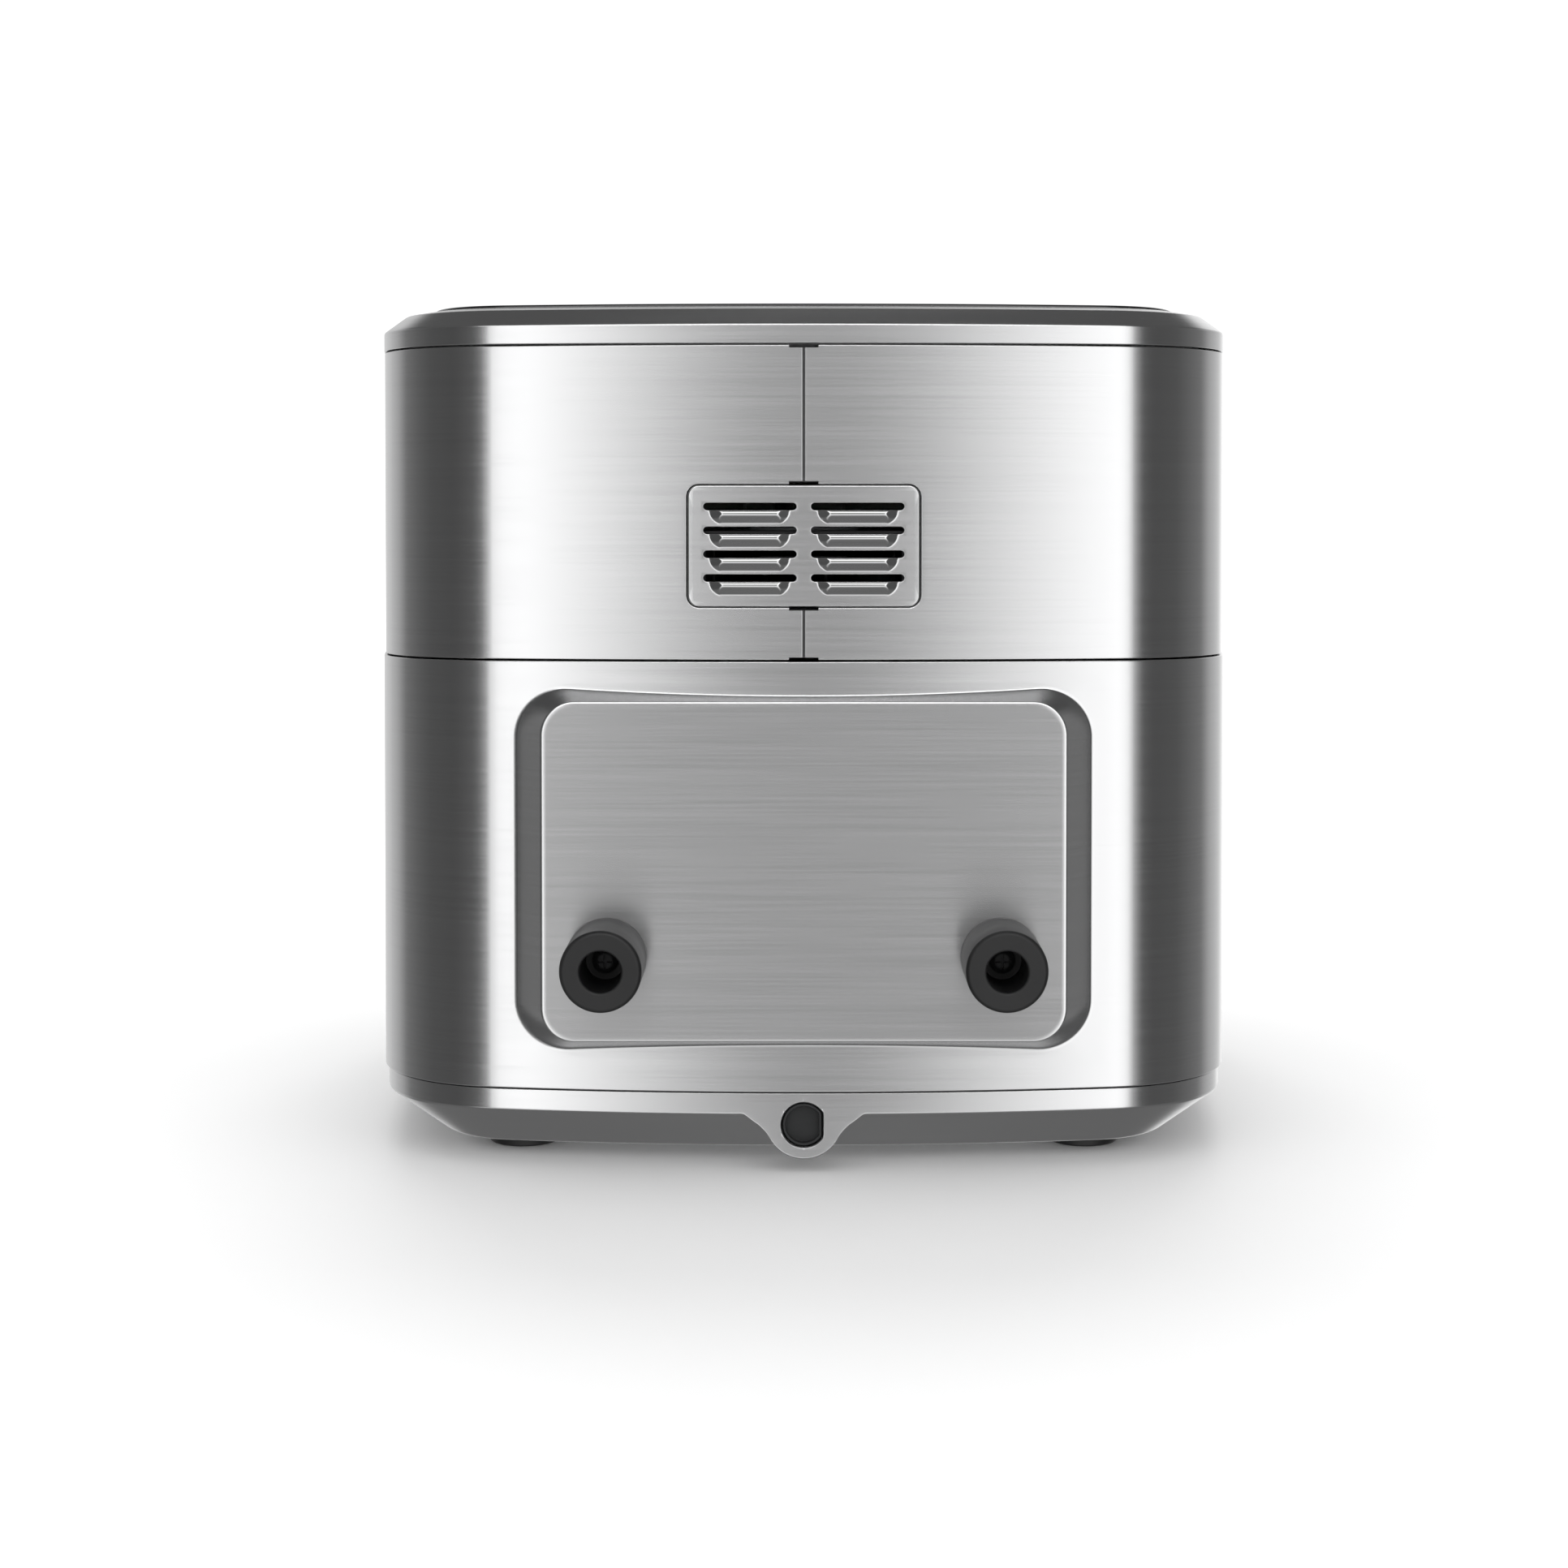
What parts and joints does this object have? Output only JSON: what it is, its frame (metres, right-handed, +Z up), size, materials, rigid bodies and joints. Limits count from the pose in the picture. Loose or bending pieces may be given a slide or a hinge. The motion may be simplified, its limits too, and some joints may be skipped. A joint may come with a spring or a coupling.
{
  "type": "air fryer",
  "caption": "Countertop air fryer: rounded-square brushed steel body with sliding drawer, lift-out tray, dials, rear exhaust louvres and rubber wall stand-offs.",
  "frame": {"origin": "centre of the bounding box in plan, at the underside of the feet", "axes": "+Z up; -Y is the front, with drawer and handle; +Y is the rear, with vent, stand-offs and cord inlet; +X is the right of a person facing the front"},
  "size_m": [0.31, 0.3912, 0.2908],
  "materials": {
    "brushed_steel": "horizontally brushed, satin",
    "black_panel": "smooth semi-gloss black",
    "black_plastic": "fine-grained matt black",
    "rubber": "matt moulded rubber",
    "grey_plastic": "matt dark grey",
    "nonstick_coating": "dark non-stick coating with fine fleck",
    "silicone": "soft matt silicone",
    "galvanised_sheet": "dull coated sheet",
    "bright_steel": "bright machined steel",
    "blackened_steel": "satin heat-resistant black finish",
    "element_sheath": "dull heat-stained sheath",
    "motor_casting": "as-cast, satin",
    "white_plastic": "plain moulded",
    "lamp_lens": "amber lens"
  },
  "bodies": {
    "housing": {"base_pan": "brushed_steel", "lower_shell": "brushed_steel", "upper_shell": "brushed_steel", "seam_strip_lower": "black_plastic", "seam_strip_upper": "black_plastic", "vent_grille": "brushed_steel", "top_rim": "brushed_steel", "top_panel": "black_panel", "control_fascia": "black_panel", "indicator_lens_power": "lamp_lens", "indicator_lens_heat": "lamp_lens", "rear_spacer_left": "rubber", "rear_spacer_right": "rubber", "spacer_screw_left": "blackened_steel", "spacer_screw_right": "blackened_steel", "cord_gland": "grey_plastic", "cord_clamp": "black_plastic", "foot_front_right": "rubber", "foot_front_left": "rubber", "foot_rear_right": "rubber", "foot_rear_left": "rubber", "chamber_liner": "galvanised_sheet", "drawer_rail_right": "bright_steel", "drawer_rail_left": "bright_steel", "fan_housing": "galvanised_sheet", "exhaust_duct": "blackened_steel", "heating_element": "element_sheath", "element_guard": "bright_steel", "motor_bracket": "galvanised_sheet", "motor_housing": "motor_casting", "thermostat": "white_plastic", "mechanical_timer": "white_plastic", "terminal_block": "white_plastic", "drawer_switch": "black_plastic"},
    "fan": {"motor_shaft": "bright_steel", "convection_fan": "galvanised_sheet", "cooling_fan": "white_plastic", "fan_nut": "bright_steel"},
    "temperature_knob": {"knob_temperature": "black_plastic", "temperature_shaft": "bright_steel"},
    "timer_knob": {"knob_timer": "black_plastic", "timer_shaft": "bright_steel"},
    "switch": {"switch_plunger": "white_plastic"},
    "drawer": {"drawer_pan": "nonstick_coating", "drawer_front": "brushed_steel", "handle_grip": "black_plastic", "handle_trim": "brushed_steel", "handle_screw_right": "bright_steel", "handle_screw_left": "bright_steel"},
    "tray": {"crisper_tray": "nonstick_coating", "tray_bumper_front_right": "silicone", "tray_bumper_front_left": "silicone", "tray_bumper_rear_right": "silicone", "tray_bumper_rear_left": "silicone"}
  },
  "joints": [
    {"name": "drawer_slide", "type": "slide", "parent": "housing", "child": "drawer", "axis": [0, -1, 0], "range_m": [0, 0.265]},
    {"name": "tray_lift", "type": "slide", "parent": "drawer", "child": "tray", "axis": [0, 0, 1], "range_m": [0, 0.09]},
    {"name": "temperature_knob_turn", "type": "hinge", "parent": "housing", "child": "temperature_knob", "pos_m": [-0.038, -0.14612, 0.22], "axis": [0.0551, 0.9985, 0], "range_deg": [0, 270]},
    {"name": "timer_knob_turn", "type": "hinge", "parent": "housing", "child": "timer_knob", "pos_m": [0.038, -0.14612, 0.22], "axis": [-0.0551, 0.9985, 0], "range_deg": [0, 300]},
    {"name": "fan_spin", "type": "hinge", "parent": "housing", "child": "fan", "pos_m": [0, -0.004, 0.2], "axis": [0, 0, 1], "continuous": true},
    {"name": "switch_press", "type": "slide", "parent": "housing", "child": "switch", "axis": [0, 1, 0], "range_m": [0, 0.0015], "stiffness_N_per_m": 200}
  ]
}
